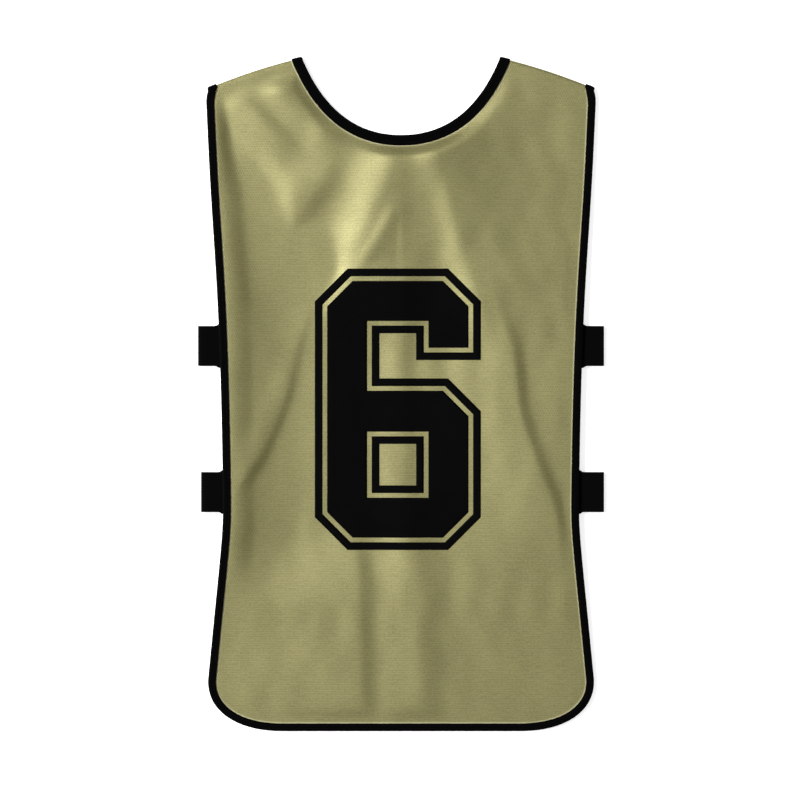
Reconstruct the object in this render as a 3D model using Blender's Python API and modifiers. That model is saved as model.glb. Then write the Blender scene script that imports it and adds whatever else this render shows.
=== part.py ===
"""A mesh training bib laid flat: its front panel lies on its back panel, neck towards +Y.

Two panels of the same cut are joined at the shoulders. A folded tape binds the neck and
another binds the armhole sides and the hem; each is one ring that runs over both shoulders.
Four short elastics, folded in half between the panels, join the front to the back.
"""

import math
from collections import namedtuple

import bmesh
import bpy
import numpy as np
from mathutils import Vector

MM = 0.001

# Driving dimensions, in millimetres. Heights are measured up from the hem's lowest edge.
WALL = 1.0
GAP = 0.3
EDGE_TAPE_WIDTH = 9.0
NECK_TAPE_WIDTH = 10.5
HEM_STRAIGHT_HALF = 117.0
CORNER_RISE = 51.0
CORNER_FULLNESS = 2.25
SHOULDER_INNER = 100.0
SHOULDER_OUTER = 193.0
SHOULDER_TOP = 673.0
SHOULDER_FALL = 22.0
SHOULDER_CROWN = 8.5
TIP_BEND_RISE = 12.0
TIP_BEND = 2.3
NECK_HALF = 98.0
NECK_FLOOR = 596.0
NECK_LEAN = math.radians(23.0)
NECK_TOP_HANDLE = 55.0
NECK_FLOOR_HANDLE = 44.0
ELASTIC_WALL = 1.2
ELASTIC_WIDTH = 40.0
ELASTIC_LOOP = 2.3
ELASTIC_LOOP_HEIGHT = 4.2

Side = namedtuple("Side", "height half_width")
SIDE_LINE = [
    Side(51, 193),
    Side(110, 187.2),
    Side(170, 181.2),
    Side(205, 178.4),
    Side(235, 178),
    Side(341, 180),
    Side(431, 183.5),
    Side(551, 191),
    Side(640, 195.3),
]

# A fold runs from its start to its end through its middle; rise is negative for a trough.
Fold = namedtuple("Fold", "start middle end half_width rise")
FOLDS = {
    "left_chest_ridge": Fold((-164, 606), (-128, 573), (-102, 500), 26, 5.5),
    "left_chest_trough": Fold((-176, 580), (-142, 540), (-120, 480), 24, -4.5),
    "left_neck_trough": Fold((-104, 600), (-84, 560), (-80, 490), 20, -4.0),
    "neck_left_ridge": Fold((-8, 575), (-30, 530), (-44, 470), 26, 5.0),
    "neck_trough": Fold((12, 548), (22, 512), (34, 440), 24, -4.5),
    "neck_right_ridge": Fold((40, 572), (50, 524), (62, 465), 20, 4.5),
    "right_chest_ridge": Fold((128, 610), (140, 560), (150, 500), 34, 2.5),
    "left_waist_ridge": Fold((-98, 436), (-124, 372), (-158, 305), 26, 5.0),
    "left_waist_crease": Fold((-112, 336), (-134, 292), (-166, 244), 15, -5.5),
    "left_skirt_ridge": Fold((-96, 325), (-112, 250), (-126, 150), 26, 4.0),
    "right_waist_ridge": Fold((98, 430), (112, 350), (136, 270), 24, 5.0),
    "right_waist_crease": Fold((112, 412), (132, 318), (156, 224), 14, -5.5),
    "left_hem_trough": Fold((-26, 190), (-24, 110), (-24, 20), 16, -4.0),
    "middle_hem_ridge": Fold((8, 180), (12, 100), (10, 18), 20, 4.5),
    "right_hem_trough": Fold((50, 185), (48, 110), (42, 25), 18, -4.0),
    "right_hem_ridge": Fold((86, 190), (88, 110), (80, 24), 22, 3.5),
    "left_hem_ridge": Fold((-110, 140), (-106, 90), (-114, 28), 24, 3.5),
}

Elastic = namedtuple("Elastic", "side middle_height reach")
ELASTICS = {
    "strap_upper_left": Elastic(-1, 385, 203),
    "strap_upper_right": Elastic(1, 385, 203),
    "strap_lower_left": Elastic(-1, 239, 200),
    "strap_lower_right": Elastic(1, 239, 203),
}

Finish = namedtuple("Finish", "colour roughness")
CLOTH = Finish((0.283, 0.262, 0.122), 0.48)
TAPE = Finish((0.006, 0.006, 0.006), 0.75)
ELASTIC = Finish((0.005, 0.005, 0.006), 0.85)

# How the layers stack: each tape is a leg, the panel and a leg, with a gap between them
TAPE_LEG = WALL + GAP
TAPE_HALF = TAPE_LEG + WALL / 2
ROLL = TAPE_HALF + GAP / 2
MIDDLE = 2 * TAPE_HALF + GAP / 2
LIFT = 2 * (ELASTIC_WALL + GAP)
LIFT_PLATEAU = ELASTIC_WIDTH / 2 + 10
LIFT_RAMP = 40.0
SEAM_ANGLE = math.acos(GAP / ROLL)
TAPE_FOLD_START = 1.5
TAPE_FOLD = 0.55
PANEL_EDGE = 1.8
PANEL_FLAT = 12.0
BACK_RAMP = 16.0
FRONT_RAMP = 26.0
FRONT_PUFF = 3.0
LOWEST_DRAPE = 0.4

# The panels' grid, on the right half: columns from the middle out, rows from the hem up
NECK_COLUMNS = 6
SIDE_COLUMNS = 9
COLUMNS = NECK_COLUMNS + SIDE_COLUMNS
BODY_ROWS = 38
SHOULDER_ROWS = 5
FLAT_ROWS = BODY_ROWS + SHOULDER_ROWS
ROLL_ROWS = 3
TURN_STEPS = 6
NECK_SPLIT = 0.52
FLAT_ANGLE = math.radians(0.2)

# An edge station: the tape's outer edge, and the way across the tape for 1 mm of its width
Station = namedtuple("Station", "edge across")


def spaced(start, end, count):
    """Even numbers from start to end, both included."""
    return [start + (end - start) * k / (count - 1) for k in range(count)]


def smoothstep(value):
    """An even rise from 0 to 1 as the value goes from 0 to 1."""
    value = min(max(value, 0.0), 1.0)
    return value * value * (3 - 2 * value)


def side_half_width(height):
    """The garment's half width, on a smooth curve through the rows of SIDE_LINE."""
    rows = SIDE_LINE
    place = max(i for i in range(len(rows) - 1) if rows[i].height <= max(height, rows[0].height))
    low, high = rows[place], rows[place + 1]
    before, after = rows[max(place - 1, 0)], rows[min(place + 2, len(rows) - 1)]
    run = high.height - low.height
    leave = (high.half_width - before.half_width) / (high.height - before.height) * run
    arrive = (after.half_width - low.half_width) / (after.height - low.height) * run
    t = (height - low.height) / run
    start = (2 * t**3 - 3 * t**2 + 1) * low.half_width + (t**3 - 2 * t**2 + t) * leave
    return start + (3 * t**2 - 2 * t**3) * high.half_width + (t**3 - t**2) * arrive


def seam_height(x):
    """The shoulder fold's axis: the shoulder line moved in by the fold's radius."""
    along = (x - SHOULDER_INNER) / (SHOULDER_OUTER - SHOULDER_INNER)
    top = SHOULDER_TOP - SHOULDER_FALL * along - SHOULDER_CROWN * along**2
    return top - ROLL - WALL / 2


def seam_direction(x):
    """The way along the right shoulder seam, outwards."""
    return Vector((1.0, seam_height(x + 0.5) - seam_height(x - 0.5))).normalized()


def outer_edge():
    """The right half of the outer edge, from the middle of the hem to the shoulder tip."""
    corner_run = SIDE_LINE[0].half_width - HEM_STRAIGHT_HALF
    points = [Vector((x, 0.0)) for x in spaced(0, HEM_STRAIGHT_HALF, 30)]
    for angle in spaced(math.pi / 2, 0, 60)[1:]:
        across = max(math.cos(angle), 0.0) ** (2 / CORNER_FULLNESS)
        down = math.sin(angle) ** (2 / CORNER_FULLNESS)
        points.append(Vector((HEM_STRAIGHT_HALF + corner_run * across, CORNER_RISE * (1 - down))))
    tip_height = seam_height(SHOULDER_OUTER)
    for height in spaced(CORNER_RISE, tip_height, 160)[1:]:
        bend = max(0.0, height - tip_height + TIP_BEND_RISE) / TIP_BEND_RISE
        points.append(Vector((side_half_width(height) - TIP_BEND * bend**2, height)))
    return points


def neck_edge():
    """The right half of the neck opening, from the shoulder tip to the scoop's floor."""
    top = Vector((NECK_HALF, seam_height(NECK_HALF)))
    floor = Vector((0.0, NECK_FLOOR))
    top_handle = top - NECK_TOP_HANDLE * Vector((math.sin(NECK_LEAN), math.cos(NECK_LEAN)))
    floor_handle = floor + Vector((NECK_FLOOR_HANDLE, 0.0))
    points = []
    for t in spaced(0, 1, 120):
        s = 1 - t
        upper = s**3 * top + 3 * s**2 * t * top_handle
        points.append(upper + 3 * s * t**2 * floor_handle + t**3 * floor)
    return points


def lengths(points):
    """How far along the line each of its points is."""
    total = [0.0]
    for start, end in zip(points, points[1:]):
        total.append(total[-1] + (end - start).length)
    return total


def station(points, mark):
    """The edge station that lies so far along a line that has the cloth on its left."""
    total = lengths(points)
    place = min(max(int(np.searchsorted(total, mark)) - 1, 0), len(points) - 2)
    part = (mark - total[place]) / (total[place + 1] - total[place])
    way = (points[min(place + 3, len(points) - 1)] - points[max(place - 2, 0)]).normalized()
    return Station(points[place].lerp(points[place + 1], part), Vector((-way.y, way.x)))


def bend_to_seam(tip, beside):
    """A tip's station turned along the seam at the same tape width, and its neighbour halfway."""
    way = seam_direction(tip.edge.x)
    tip = Station(tip.edge, way / way.dot(tip.across))
    return tip, Station(beside.edge, (beside.across * 2 + tip.across) / 3)


def mirrored(one):
    """A station of the right half moved to the left half."""
    flip = Vector((-1.0, 1.0))
    return Station(one.edge * flip, one.across * flip)


def inside(one, distance):
    """The point that far in from a station's edge."""
    return one.edge + one.across * distance


OUTER = outer_edge()
NECK = neck_edge()
OUTER_LENGTH = lengths(OUTER)[-1]
NECK_LENGTH = lengths(NECK)[-1]
CORNER_END = next(run for run, p in zip(lengths(OUTER), OUTER) if p.y >= CORNER_RISE - 0.01)
CORNER_MARK = (HEM_STRAIGHT_HALF + CORNER_END) / 2
SPLIT_MARK = NECK_LENGTH * NECK_SPLIT

# Stations along the hem and up the side, and round the neck from its floor up to the tip
HEM = [station(OUTER, mark) for mark in spaced(0, CORNER_MARK, COLUMNS + 1)]
SIDE = [station(OUTER, mark) for mark in spaced(CORNER_MARK, OUTER_LENGTH, FLAT_ROWS + 1)]
SCOOP = [station(NECK, mark) for mark in spaced(NECK_LENGTH, SPLIT_MARK, NECK_COLUMNS + 1)]
COLLAR = [station(NECK, mark) for mark in spaced(SPLIT_MARK, 0, SHOULDER_ROWS + 1)]
SIDE[-1], SIDE[-2] = bend_to_seam(SIDE[-1], SIDE[-2])
COLLAR[-1], COLLAR[-2] = bend_to_seam(COLLAR[-1], COLLAR[-2])


def blend(first, second, steps):
    """Points evenly between two points, both included."""
    return [first.lerp(second, k / steps) for k in range(steps + 1)]


def patch(bottom, top, left, right):
    """Points inside four edge lines, by column and row: each follows the edges it is near."""
    across, up = len(bottom) - 1, len(left) - 1
    points = {}
    for i in range(across + 1):
        for j in range(up + 1):
            u, v = i / across, j / up
            rails = (1 - v) * bottom[i] + v * top[i] + (1 - u) * left[j] + u * right[j]
            corners = (1 - u) * ((1 - v) * bottom[0] + v * top[0])
            corners += u * ((1 - v) * bottom[-1] + v * top[-1])
            points[i, j] = rails - corners
    return points


def cut_points():
    """The flat cut's points on its right half, by column and row, up to the shoulder fold."""
    neck_in = NECK_TAPE_WIDTH + 1
    side_in = EDGE_TAPE_WIDTH + 1
    last = BODY_ROWS - 1
    gusset = SIDE_COLUMNS - 2
    points = {}

    # The body, from the tape along the hem up to the tape along the scoop
    hem_line = [inside(one, side_in) for one in HEM[:-2]] + [inside(HEM[-1], PANEL_FLAT)]
    side_line = [hem_line[-1]] + [inside(one, side_in) for one in SIDE[2:BODY_ROWS]]
    scoop_step = (NECK_LENGTH - SPLIT_MARK) / NECK_COLUMNS
    scoop_line = [inside(one, neck_in) for one in SCOOP[:-1]]
    scoop_line.append(inside(station(NECK, SPLIT_MARK + scoop_step / 2), neck_in))
    scoop_line += blend(inside(SCOOP[-1], neck_in * 1.5), side_line[-1], gusset)
    middle_line = blend(hem_line[0], scoop_line[0], last - 1)
    for (i, j), place in patch(hem_line, scoop_line, middle_line, side_line).items():
        points[i, j + 1] = place

    # The shoulder, from the level of the scoop's side up to the fold
    collar_half_step = SPLIT_MARK / SHOULDER_ROWS / 2
    collar_line = [inside(station(NECK, SPLIT_MARK - collar_half_step), neck_in)]
    collar_line += [inside(one, neck_in) for one in COLLAR[1:]]
    arm_line = [inside(one, side_in) for one in SIDE[BODY_ROWS:]]
    fold_line = blend(collar_line[-1], arm_line[-1], gusset)
    fold_line = [Vector((place.x, seam_height(place.x))) for place in fold_line]
    level_line = blend(collar_line[0], arm_line[0], gusset)
    for (i, j), place in patch(level_line, fold_line, collar_line, arm_line).items():
        points[i + NECK_COLUMNS + 1, j + BODY_ROWS] = place

    # The cut's own edges, inside the tapes
    for i, one in enumerate(HEM):
        points[i, 0] = inside(one, PANEL_EDGE)
    for j, one in enumerate(SIDE):
        points[COLUMNS, j] = inside(one, PANEL_EDGE)
    for i, one in enumerate(SCOOP):
        points[i, BODY_ROWS] = inside(one, PANEL_EDGE)
    for j, one in enumerate(COLLAR):
        points[NECK_COLUMNS, BODY_ROWS + j] = inside(one, PANEL_EDGE)
    return points


CUT = cut_points()
SEAM = [Vector((x, seam_height(x))) for x in spaced(NECK_HALF, SHOULDER_OUTER, 40)]
OUTLINE = np.array([tuple(p) for p in OUTER + NECK + SEAM])
GARMENT_TOP = SHOULDER_TOP + TAPE_HALF - WALL / 2


def edge_distance(point):
    """How far a point of the cloth is from the garment's outline."""
    gaps = OUTLINE - np.array((abs(point.x), point.y))
    return float(np.sqrt((gaps**2).sum(axis=1).min()))


def lift(height):
    """How much the folded elastics raise the front edge at this height."""
    most = 0.0
    for middle in {one.middle_height for one in ELASTICS.values()}:
        past = abs(height - middle) - LIFT_PLATEAU
        most = max(most, 1 - smoothstep(past / LIFT_RAMP))
    return LIFT * most


def fold_rise(fold, point):
    """One fold's rise at a point: a soft ridge along its line that dies away at both ends."""
    start, middle, end = (Vector(p) for p in (fold.start, fold.middle, fold.end))
    first, second = (middle - start).length, (end - middle).length
    best = None
    for low, high, before, run in ((start, middle, 0.0, first), (middle, end, first, second)):
        part = min(max((point - low).dot(high - low) / run**2, 0.0), 1.0)
        away = (point - low.lerp(high, part)).length
        if best is None or away < best[0]:
            best = (away, (before + part * run) / (first + second))
    away, along = best
    across = math.exp(-((away / fold.half_width) ** 2) * 1.6)
    return fold.rise * across * math.sin(math.pi * min(max(along, 0.02), 0.98)) ** 0.6


def drape(point):
    """The front cloth's height over the back cloth, from its puff and its folds."""
    height = FRONT_PUFF + sum(fold_rise(fold, point) for fold in FOLDS.values())
    return LOWEST_DRAPE + math.log1p(math.exp(height - LOWEST_DRAPE))


def back_level(point):
    """The middle of the back panel's wall: on the table, and up in its tape at the edges."""
    near = 1 - smoothstep((edge_distance(point) - PANEL_FLAT) / BACK_RAMP)
    return WALL / 2 + (TAPE_HALF - WALL / 2) * near


def front_level(point):
    """The middle of the front panel's wall: draped over the back, and up in its tape."""
    near = 1 - smoothstep((edge_distance(point) - PANEL_FLAT) / FRONT_RAMP)
    in_tape = 2 * ROLL - WALL - GAP + lift(point.y)
    return back_level(point) + WALL + GAP + near * in_tape + (1 - near) * drape(point)


def placed(flat, height):
    """A point of the model, in metres: the flat cut's own point, at a height over the table."""
    return Vector((flat.x, flat.y - GARMENT_TOP / 2, height)) * MM


def rolled(flat, side, angle, beyond):
    """A point over the shoulder fold: turned by an angle about the seam's axis."""
    way = seam_direction(abs(flat.x))
    outwards = Vector((-way.y * side, way.x))
    reach = ROLL + beyond
    return flat + outwards * reach * math.sin(angle), MIDDLE + reach * math.cos(angle)


def collection(name):
    """A new collection of the scene."""
    made = bpy.data.collections.new(name)
    bpy.context.scene.collection.children.link(made)
    return made


def material(name, finish):
    """A plain material with the piece's colour and roughness."""
    made = bpy.data.materials.new(name)
    made.use_nodes = True
    shader = made.node_tree.nodes["Principled BSDF"]
    shader.inputs["Base Color"].default_value = (*finish.colour, 1.0)
    shader.inputs["Roughness"].default_value = finish.roughness
    shader.inputs["Metallic"].default_value = 0.0
    return made


def grid(columns, rows):
    """A flat grid, and each of its points with its column and row."""
    mesh = bmesh.new()
    bmesh.ops.create_grid(mesh, x_segments=columns, y_segments=rows, size=1.0)
    where = {}
    for point in mesh.verts:
        where[point] = (
            round((point.co.x + 1) / 2 * columns),
            round((point.co.y + 1) / 2 * rows),
        )
    return mesh, where


def cloth_object(name, mesh, wall, finish, home):
    """A named object whose open surface gets the cloth's wall from a Solidify modifier."""
    bmesh.ops.recalc_face_normals(mesh, faces=mesh.faces)
    data = bpy.data.meshes.new(name)
    mesh.to_mesh(data)
    mesh.free()
    data.materials.append(material(name, finish))
    data.shade_smooth()
    made = bpy.data.objects.new(name, data)
    home.objects.link(made)
    thick = made.modifiers.new("Wall", "SOLIDIFY")
    thick.thickness = wall * MM
    thick.offset = 0.0
    thick.use_even_offset = True
    thick.use_quality_normals = True
    return made


def panel(name, level, facing, home):
    """One panel: the flat cut draped by its level, and rolled over at the shoulders.

    facing is +1 for the front panel, which rolls down to the seam, and -1 for the back.
    """
    mesh, where = grid(2 * COLUMNS, FLAT_ROWS + ROLL_ROWS)
    neck = [v for v, (i, j) in where.items() if abs(i - COLUMNS) < NECK_COLUMNS and j > BODY_ROWS]
    for point, (i, j) in where.items():
        column, side = abs(i - COLUMNS), 1 if i >= COLUMNS else -1
        if (column, min(j, FLAT_ROWS)) not in CUT:
            continue
        flat = CUT[column, min(j, FLAT_ROWS)] * Vector((side, 1))
        if j <= FLAT_ROWS:
            point.co = placed(flat, level(flat))
            continue
        turn = (j - FLAT_ROWS) / ROLL_ROWS * SEAM_ANGLE
        place, height = rolled(flat, side, turn, 0.0)
        point.co = placed(place, MIDDLE + facing * (height - MIDDLE))
    bmesh.ops.delete(mesh, geom=neck, context="VERTS")
    bmesh.ops.dissolve_limit(mesh, angle_limit=FLAT_ANGLE, verts=mesh.verts, edges=mesh.edges)
    return cloth_object(name, mesh, WALL, CLOTH, home)


def tape(name, width, run, home):
    """One folded tape: a ring along the front edge, over a shoulder, and back along the back."""
    profile = [(width, TAPE_LEG), (TAPE_FOLD_START, TAPE_LEG), (TAPE_FOLD, TAPE_LEG / 2)]
    profile += [(across, -up) for across, up in profile[::-1]]
    turns = [math.pi * k / TURN_STEPS for k in range(1, TURN_STEPS)]
    ring = [(one, 0.0) for one in run]
    ring += [(run[-1], angle) for angle in turns]
    ring += [(one, math.pi) for one in run[::-1]]
    ring += [(run[0], angle) for angle in turns[::-1]]
    mesh, where = grid(len(ring), len(profile) - 1)
    for point, (i, j) in where.items():
        one, angle = ring[i % len(ring)]
        across, up = profile[j]
        flat = inside(one, across)
        side = 1 if one.edge.x >= 0 else -1
        raised = lift(one.edge.y) if angle == 0.0 else 0.0
        place, height = rolled(flat, side, angle, up)
        if angle in (0.0, math.pi):
            place = flat
        point.co = placed(place, height + raised)
    bmesh.ops.remove_doubles(mesh, verts=mesh.verts, dist=0.01 * MM)
    return cloth_object(name, mesh, WALL, TAPE, home)


def elastic(name, piece, home):
    """One elastic: from the front edge out, round its fold and back in to the back edge."""
    edge = side_half_width(piece.middle_height)
    low = 2 * TAPE_HALF + GAP + ELASTIC_WALL / 2
    high = low + ELASTIC_WALL + GAP
    inner, leave = edge - EDGE_TAPE_WIDTH + 0.5, edge + 1.5
    fold = piece.reach - ELASTIC_WALL / 2 - ELASTIC_LOOP
    run = [(inner, high), (edge - 4, high)]
    for k in range(5):
        rise = (ELASTIC_LOOP_HEIGHT + ELASTIC_LOOP - high) * smoothstep(k / 4)
        run.append((leave + (fold - leave) * k / 4, high + rise))
    for k in range(1, 7):
        angle = math.pi / 2 - math.pi * k / 6
        height = ELASTIC_LOOP_HEIGHT + ELASTIC_LOOP * math.sin(angle)
        run.append((fold + ELASTIC_LOOP * math.cos(angle), height))
    for k in range(1, 5):
        rise = (low - ELASTIC_LOOP_HEIGHT + ELASTIC_LOOP) * smoothstep(k / 4)
        run.append((fold + (leave - fold) * k / 4, ELASTIC_LOOP_HEIGHT - ELASTIC_LOOP + rise))
    run += [(edge - 4, low), (inner, low)]
    mesh, where = grid(len(run) - 1, 1)
    for point, (i, j) in where.items():
        out, height = run[i]
        along = piece.middle_height + (j - 0.5) * ELASTIC_WIDTH
        point.co = placed(Vector((piece.side * out, along)), height)
    return cloth_object(name, mesh, ELASTIC_WALL, ELASTIC, home)


def both_sides(rising):
    """A run of stations over the left half and the right half, from tip to tip."""
    return [mirrored(one) for one in rising[::-1]] + rising[1:]


def build():
    """Clear the scene and make the bib."""
    for thing in list(bpy.data.objects):
        bpy.data.objects.remove(thing)
    home = collection("training_bib")
    panel("front_panel", front_level, 1, home)
    panel("back_panel", back_level, -1, home)
    tape("edge_binding", EDGE_TAPE_WIDTH, both_sides(HEM + SIDE[1:]), home)
    tape("neck_binding", NECK_TAPE_WIDTH, both_sides(SCOOP + COLLAR[1:]), home)
    for name, piece in ELASTICS.items():
        elastic(name, piece, home)


build()
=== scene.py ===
# %% [markdown]
# # A mesh training bib, laid flat
#
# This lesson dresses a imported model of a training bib: two panels of shiny tricot mesh on each
# other, a folded black tape round the neck, another round the sides and the hem, four folded
# elastics and a printed player number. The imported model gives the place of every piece, and
# nothing here moves it. We start by loading it and keeping its size.

# %% Load the frame
import random
from collections import namedtuple
from math import acos, copysign, cos, exp, pi, radians, sin, sqrt, tau

import bmesh
import bpy
import numpy as np
from mathutils import Matrix, Vector
from mathutils.kdtree import KDTree


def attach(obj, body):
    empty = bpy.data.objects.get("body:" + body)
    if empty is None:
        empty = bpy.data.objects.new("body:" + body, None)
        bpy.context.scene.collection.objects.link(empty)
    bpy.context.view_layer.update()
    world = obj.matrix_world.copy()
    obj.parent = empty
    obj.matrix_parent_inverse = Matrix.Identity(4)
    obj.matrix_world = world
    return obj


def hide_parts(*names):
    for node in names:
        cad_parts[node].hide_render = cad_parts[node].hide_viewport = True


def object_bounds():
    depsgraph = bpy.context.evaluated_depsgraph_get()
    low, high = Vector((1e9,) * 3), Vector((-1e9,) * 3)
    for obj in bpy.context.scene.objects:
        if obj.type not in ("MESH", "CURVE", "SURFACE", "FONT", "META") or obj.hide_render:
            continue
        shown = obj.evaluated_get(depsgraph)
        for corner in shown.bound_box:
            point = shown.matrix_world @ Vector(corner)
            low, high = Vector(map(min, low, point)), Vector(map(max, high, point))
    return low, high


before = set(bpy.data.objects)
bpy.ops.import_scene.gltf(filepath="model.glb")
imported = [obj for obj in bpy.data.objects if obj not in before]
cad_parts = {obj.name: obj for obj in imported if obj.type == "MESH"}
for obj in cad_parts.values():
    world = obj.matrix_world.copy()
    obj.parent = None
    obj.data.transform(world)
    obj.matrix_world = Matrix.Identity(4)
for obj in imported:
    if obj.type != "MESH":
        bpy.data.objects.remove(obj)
CAD_BOX = [list(corner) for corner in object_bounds()]
BODY = "root"
print("the packed bib's box:", [[round(n, 4) for n in corner] for corner in CAD_BOX])

# %% [markdown]
# ## The cut
#
# A garment starts as a flat cut. Every length below is in millimetres, and becomes metres only
# when a point is placed. Heights are measured up from the lowest edge of the hem. Both panels
# have the same cut, and it is symmetric, so only its right half is described.

# %% Sizes of the cut and of the trims
MM = 0.001
GARMENT_TOP = (CAD_BOX[1][1] - CAD_BOX[0][1]) / MM
WALL = 1.0
GAP = 0.3
EDGE_TAPE_WIDTH = 7.8
NECK_TAPE_WIDTH = 10.5
HEM_STRAIGHT_HALF = 117.0
CORNER_RISE = 51.0
CORNER_FULLNESS = 2.25
SHOULDER_INNER = 100.0
SHOULDER_OUTER = 193.0
SHOULDER_TOP = 673.0
SHOULDER_FALL = 22.0
SHOULDER_CROWN = 8.5
TIP_BEND_RISE = 12.0
TIP_BEND = 2.3
NECK_HALF = 98.0
NECK_FLOOR = 596.0
NECK_LEAN = radians(23.0)
NECK_TOP_HANDLE = 55.0
NECK_FLOOR_HANDLE = 44.0

Side = namedtuple("Side", "height half_width")
SIDE_LINE = [
    Side(51, 193), Side(110, 187.2), Side(170, 181.2), Side(205, 178.4), Side(235, 178),
    Side(341, 180), Side(431, 183.5), Side(551, 191), Side(640, 195.3),
]
print(f"the bib is {GARMENT_TOP:.0f} mm long, {2 * SHOULDER_OUTER:.0f} mm wide at the shoulders")

# %% [markdown]
# The layers stack up: a tape has a leg, the panel and a leg, so the front panel's edge lies
# higher than the back panel's, and at the shoulder the cloth rolls over from one to the other.
# The folded elastics lie between the two tapes and lift the front one, which bridges the stretch
# between them, so the lift is one long plateau.

# %% Heights of the layers
ELASTIC_WALL = 1.2
ELASTIC_WIDTH = 40.0
ELASTIC_LOOP = 2.3
ELASTIC_LOOP_HEIGHT = 4.2
Elastic = namedtuple("Elastic", "side middle_height reach")
ELASTICS = {
    "strap_upper_left": Elastic(-1, 385, 203),
    "strap_upper_right": Elastic(1, 385, 203),
    "strap_lower_left": Elastic(-1, 239, 200),
    "strap_lower_right": Elastic(1, 239, 203),
}
TAPE_LEG = WALL + GAP
TAPE_HALF = TAPE_LEG + WALL / 2
ROLL = TAPE_HALF + GAP / 2
MIDDLE = 2 * TAPE_HALF + GAP / 2
LIFT = 2 * (ELASTIC_WALL + GAP)
ELASTIC_ROWS = [one.middle_height for one in ELASTICS.values()]
LIFT_MIDDLE = (max(ELASTIC_ROWS) + min(ELASTIC_ROWS)) / 2
LIFT_PLATEAU = (max(ELASTIC_ROWS) - min(ELASTIC_ROWS) + ELASTIC_WIDTH) / 2
LIFT_RAMP = 150.0
SEAM_ANGLE = acos(GAP / ROLL)
PANEL_EDGE = 1.8
PANEL_FLAT = 9.2
BACK_RAMP = 16.0
FRONT_RAMP = 14.0
SLACK_RAMP = 26.0
LIFT_SPREAD_LEFT = 70.0
LIFT_SPREAD_RIGHT = 150.0
print("the front tape's middle is", MIDDLE + ROLL, "mm up, and", LIFT, "mm more over an elastic")

# %% [markdown]
# ## Lines of the outline
#
# The side is a smooth curve through a few half widths, the lower corner is a superellipse, and
# the neck is one Bezier curve. Such curves have few numbers to set and stay smooth everywhere.

# %% The side, the shoulder and the neck
def spaced(start, end, count):
    """Even numbers from start to end, both included."""
    return [start + (end - start) * k / (count - 1) for k in range(count)]


def smoothstep(value):
    """A soft rise from 0 to 1; takes a number or an array."""
    value = np.clip(value, 0.0, 1.0)
    return value * value * (3 - 2 * value)


def side_half_width(height):
    """The garment's half width, on a smooth curve through the rows of SIDE_LINE."""
    rows = SIDE_LINE
    place = max(i for i in range(len(rows) - 1) if rows[i].height <= max(height, rows[0].height))
    low, high = rows[place], rows[place + 1]
    before, after = rows[max(place - 1, 0)], rows[min(place + 2, len(rows) - 1)]
    run = high.height - low.height
    leave = (high.half_width - before.half_width) / (high.height - before.height) * run
    arrive = (after.half_width - low.half_width) / (after.height - low.height) * run
    t = (height - low.height) / run
    start = (2 * t**3 - 3 * t**2 + 1) * low.half_width + (t**3 - 2 * t**2 + t) * leave
    return start + (3 * t**2 - 2 * t**3) * high.half_width + (t**3 - t**2) * arrive


def seam_height(x):
    """The shoulder fold's axis: the shoulder line moved in by the fold's radius."""
    along = (x - SHOULDER_INNER) / (SHOULDER_OUTER - SHOULDER_INNER)
    top = SHOULDER_TOP - SHOULDER_FALL * along - SHOULDER_CROWN * along**2
    return top - ROLL - WALL / 2


def seam_direction(x):
    """The way along the right shoulder seam, outwards."""
    return Vector((1.0, seam_height(x + 0.5) - seam_height(x - 0.5))).normalized()


def outer_edge():
    """The right half of the outer edge, from the middle of the hem to the shoulder tip."""
    corner_run = SIDE_LINE[0].half_width - HEM_STRAIGHT_HALF
    points = [Vector((x, 0.0)) for x in spaced(0, HEM_STRAIGHT_HALF, 40)]
    for angle in spaced(pi / 2, 0, 120)[1:]:
        across = max(cos(angle), 0.0) ** (2 / CORNER_FULLNESS)
        down = sin(angle) ** (2 / CORNER_FULLNESS)
        points.append(Vector((HEM_STRAIGHT_HALF + corner_run * across, CORNER_RISE * (1 - down))))
    tip_height = seam_height(SHOULDER_OUTER)
    for height in spaced(CORNER_RISE, tip_height, 480)[1:]:
        bend = max(0.0, height - tip_height + TIP_BEND_RISE) / TIP_BEND_RISE
        points.append(Vector((side_half_width(height) - TIP_BEND * bend**2, height)))
    return points


def neck_edge():
    """The right half of the neck opening, from the shoulder tip to the scoop's floor."""
    top = Vector((NECK_HALF, seam_height(NECK_HALF)))
    floor = Vector((0.0, NECK_FLOOR))
    top_handle = top - NECK_TOP_HANDLE * Vector((sin(NECK_LEAN), cos(NECK_LEAN)))
    floor_handle = floor + Vector((NECK_FLOOR_HANDLE, 0.0))
    points = []
    for t in spaced(0, 1, 160):
        s = 1 - t
        upper = s**3 * top + 3 * s**2 * t * top_handle
        points.append(upper + 3 * s * t**2 * floor_handle + t**3 * floor)
    return points


OUTER = outer_edge()
NECK = neck_edge()
SEAM = [Vector((x, seam_height(x))) for x in spaced(NECK_HALF, SHOULDER_OUTER, 80)]
print(len(OUTER), "points down the outer edge and", len(NECK), "round half of the neck")

# %% [markdown]
# A station is a point of an edge with the way across the tape there, so a tape of any width can
# follow the edge. At the shoulder the last stations turn until they lie along the seam, where the
# front and the back meet.

# %% Stations along an edge
Station = namedtuple("Station", "edge across")


def lengths(points):
    """How far along the line each of its points is."""
    total = [0.0]
    for start, end in zip(points, points[1:]):
        total.append(total[-1] + (end - start).length)
    return total


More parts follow.
